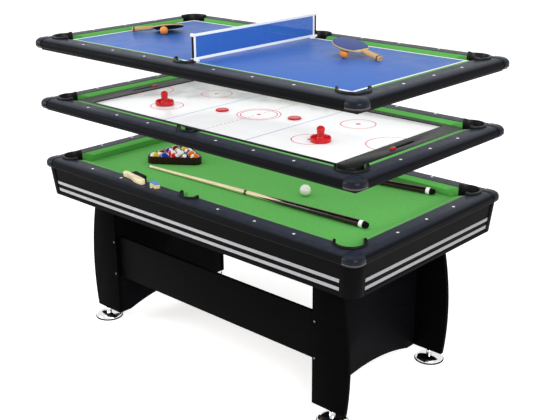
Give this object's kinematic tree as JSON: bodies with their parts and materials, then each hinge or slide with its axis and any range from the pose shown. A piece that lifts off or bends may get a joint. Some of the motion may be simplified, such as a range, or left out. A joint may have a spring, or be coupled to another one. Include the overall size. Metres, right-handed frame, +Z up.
{
  "type": "multi game table",
  "caption": "Pool table on panel legs, with slide hockey and table tennis tops held above it in matching rail rings, and its balls, cues, pushers, pucks, paddles and net laid out.",
  "frame": {"origin": "on the floor, under the middle of the table", "axes": "+Z up, +X along the table's length towards its right end as seen from the near side, +Y from the near side to the far side"},
  "size_m": [1.84, 0.99, 1.4563],
  "materials": {
    "rail_vinyl": "satin",
    "corner_cap": "glossy",
    "pocket_plastic": "satin",
    "green_cloth": "napped",
    "green_board": "painted matt",
    "raw_board": "raw",
    "black_board": "laminated, satin",
    "chrome_foot": "polished",
    "rack_wood": "lacquered",
    "object_ball": "polished",
    "cue_ball": "polished",
    "cue_maple": "lacquered",
    "chalk": "matt",
    "brush_wood": "varnished",
    "bristle": "matt",
    "hockey_tray": "satin",
    "hockey_field": "glossy",
    "moulded_red": "glossy",
    "blue_board": "painted, satin",
    "net_cord": "matt",
    "clamp_plastic": "satin",
    "paddle": "matt",
    "tennis_ball": "satin"
  },
  "bodies": {
    "table": {"apron_far": "black_board", "apron_left": "black_board", "apron_near": "black_board", "apron_right": "black_board", "brush_bristles": "bristle", "brush_handle": "brush_wood", "chalk_left": "chalk", "chalk_right": "chalk", "corner_cap_left_far": "corner_cap", "corner_cap_left_near": "corner_cap", "corner_cap_right_far": "corner_cap", "corner_cap_right_near": "corner_cap", "corner_pocket_left_far": "pocket_plastic", "corner_pocket_left_near": "pocket_plastic", "corner_pocket_right_far": "pocket_plastic", "corner_pocket_right_near": "pocket_plastic", "cue_far": "cue_maple", "cue_near": "cue_maple", "end_panel_left": "black_board", "end_panel_right": "black_board", "leg_left_far": "black_board", "leg_left_near": "black_board", "leg_right_far": "black_board", "leg_right_near": "black_board", "object_balls": "object_ball", "pool_bed": "raw_board", "pool_cloth": "green_cloth", "pool_rail_far": "rail_vinyl", "pool_rail_left": "rail_vinyl", "pool_rail_near": "rail_vinyl", "pool_rail_right": "rail_vinyl", "side_pocket_far": "pocket_plastic", "side_pocket_near": "pocket_plastic", "stretcher": "black_board"},
    "hockey_top": {"hockey_base": "green_board", "hockey_rail_ring": "rail_vinyl", "hockey_tray": "hockey_tray", "hockey_field": "hockey_field"},
    "tennis_top": {"tennis_base": "green_board", "tennis_rail_ring": "rail_vinyl", "tennis_board": "blue_board", "paddle_left": "paddle", "paddle_right": "paddle", "tennis_ball_left": "tennis_ball", "tennis_ball_right": "tennis_ball"},
    "net_rig": {"net": "net_cord", "net_clamp_near": "clamp_plastic", "net_clamp_far": "clamp_plastic"},
    "rack": {"ball_rack": "rack_wood"},
    "cue_ball_body": {"cue_ball": "cue_ball"},
    "foot_left_near": {"leveller_left_near": "chrome_foot"},
    "foot_left_far": {"leveller_left_far": "chrome_foot"},
    "foot_right_near": {"leveller_right_near": "chrome_foot"},
    "foot_right_far": {"leveller_right_far": "chrome_foot"},
    "pusher_left_body": {"pusher_left": "moulded_red"},
    "puck_left_body": {"puck_left": "moulded_red"},
    "slider_left_body": {"score_slider_left": "moulded_red"},
    "pusher_right_body": {"pusher_right": "moulded_red"},
    "puck_right_body": {"puck_right": "moulded_red"},
    "slider_right_body": {"score_slider_right": "moulded_red"}
  },
  "joints": [
    {"name": "hockey_lift", "type": "slide", "parent": "table", "child": "hockey_top", "axis": [0, 0, 1], "range_m": [-0.165, 0]},
    {"name": "tennis_lift", "type": "slide", "parent": "hockey_top", "child": "tennis_top", "axis": [0, 0, 1], "range_m": [-0.155, 0]},
    {"name": "net_lift", "type": "slide", "parent": "tennis_top", "child": "net_rig", "axis": [0, 0, 1], "range_m": [0, 0.12]},
    {"name": "rack_lift", "type": "slide", "parent": "table", "child": "rack", "axis": [0, 0, 1], "range_m": [0, 0.055]},
    {"name": "cue_ball_roll", "type": "slide", "parent": "table", "child": "cue_ball_body", "axis": [1, 0, 0], "range_m": [-0.55, 0.45]},
    {"name": "level_left_near", "type": "slide", "parent": "table", "child": "foot_left_near", "axis": [0, 0, -1], "range_m": [0, 0.012]},
    {"name": "level_left_far", "type": "slide", "parent": "table", "child": "foot_left_far", "axis": [0, 0, -1], "range_m": [0, 0.012]},
    {"name": "level_right_near", "type": "slide", "parent": "table", "child": "foot_right_near", "axis": [0, 0, -1], "range_m": [0, 0.012]},
    {"name": "level_right_far", "type": "slide", "parent": "table", "child": "foot_right_far", "axis": [0, 0, -1], "range_m": [0, 0.012]},
    {"name": "pusher_left_slide", "type": "slide", "parent": "hockey_top", "child": "pusher_left_body", "axis": [0, 1, 0], "range_m": [-0.13, 0.42]},
    {"name": "pusher_right_slide", "type": "slide", "parent": "hockey_top", "child": "pusher_right_body", "axis": [0, 1, 0], "range_m": [-0.13, 0.42]},
    {"name": "puck_left_slide", "type": "slide", "parent": "hockey_top", "child": "puck_left_body", "axis": [0, 1, 0], "range_m": [-0.24, 0.35]},
    {"name": "puck_right_slide", "type": "slide", "parent": "hockey_top", "child": "puck_right_body", "axis": [0, 1, 0], "range_m": [-0.34, 0.25]},
    {"name": "score_left_slide", "type": "slide", "parent": "hockey_top", "child": "slider_left_body", "axis": [0, 1, 0], "range_m": [-0.122, 0]},
    {"name": "score_right_slide", "type": "slide", "parent": "hockey_top", "child": "slider_right_body", "axis": [0, 1, 0], "range_m": [0, 0.122]}
  ]
}
